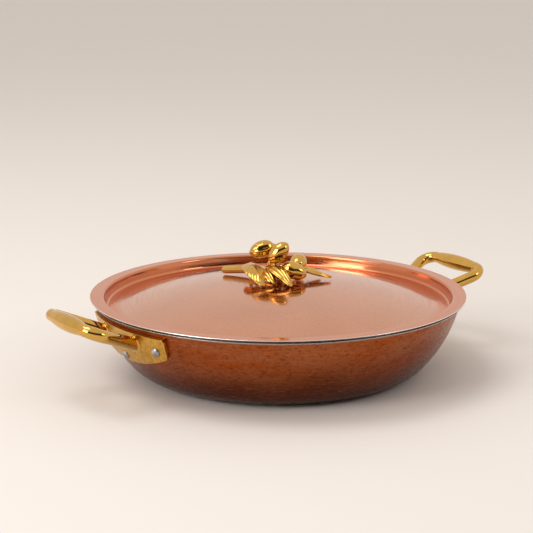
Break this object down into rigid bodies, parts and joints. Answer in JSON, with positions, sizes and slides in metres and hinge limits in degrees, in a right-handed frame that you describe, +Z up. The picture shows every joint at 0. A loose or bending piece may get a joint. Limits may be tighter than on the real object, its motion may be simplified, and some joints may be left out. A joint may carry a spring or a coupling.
{
  "type": "covered frying pan",
  "caption": "Low covered copper pan with curved sides, cast brass loop handles on riveted plates, a steel lining and a domed drop-in lid with an olive sprig as its knob.",
  "frame": {"origin": "centre of the underside, where the pan stands", "axes": "+X through the right handle, +Y to the back, +Z up; the handles lie along X"},
  "size_m": [0.3774, 0.294, 0.1016],
  "materials": {
    "body_copper": "polished copper, softly worn",
    "lid_copper": "polished copper with fine circular brushing",
    "lining_steel": "satin stainless steel",
    "handle_brass": "polished cast brass with a satin plate",
    "rivet_steel": "polished steel",
    "sprig_brass": "polished cast brass with dark hollows",
    "screw_steel": "plain steel"
  },
  "bodies": {
    "pan": {"pan_copper_shell": "body_copper", "pan_steel_lining": "lining_steel", "left_handle": "handle_brass", "right_handle": "handle_brass", "left_handle_rivets": "rivet_steel", "right_handle_rivets": "rivet_steel"},
    "lid": {"lid_copper_skin": "lid_copper", "lid_steel_lining": "lining_steel", "finial_branch": "sprig_brass", "finial_leaf_front_left": "sprig_brass", "finial_leaf_front_middle": "sprig_brass", "finial_leaf_front_right": "sprig_brass", "finial_leaf_right_long": "sprig_brass", "finial_leaf_right_short": "sprig_brass", "finial_olive_top_left": "sprig_brass", "finial_olive_top_right": "sprig_brass", "finial_olive_right_back": "sprig_brass", "finial_olive_right_front": "sprig_brass", "finial_screw": "screw_steel", "finial_washer": "screw_steel"}
  },
  "joints": [
    {"name": "lid_lift", "type": "slide", "parent": "pan", "child": "lid", "axis": [0, 0, 1], "range_m": [0, 0.12]}
  ]
}
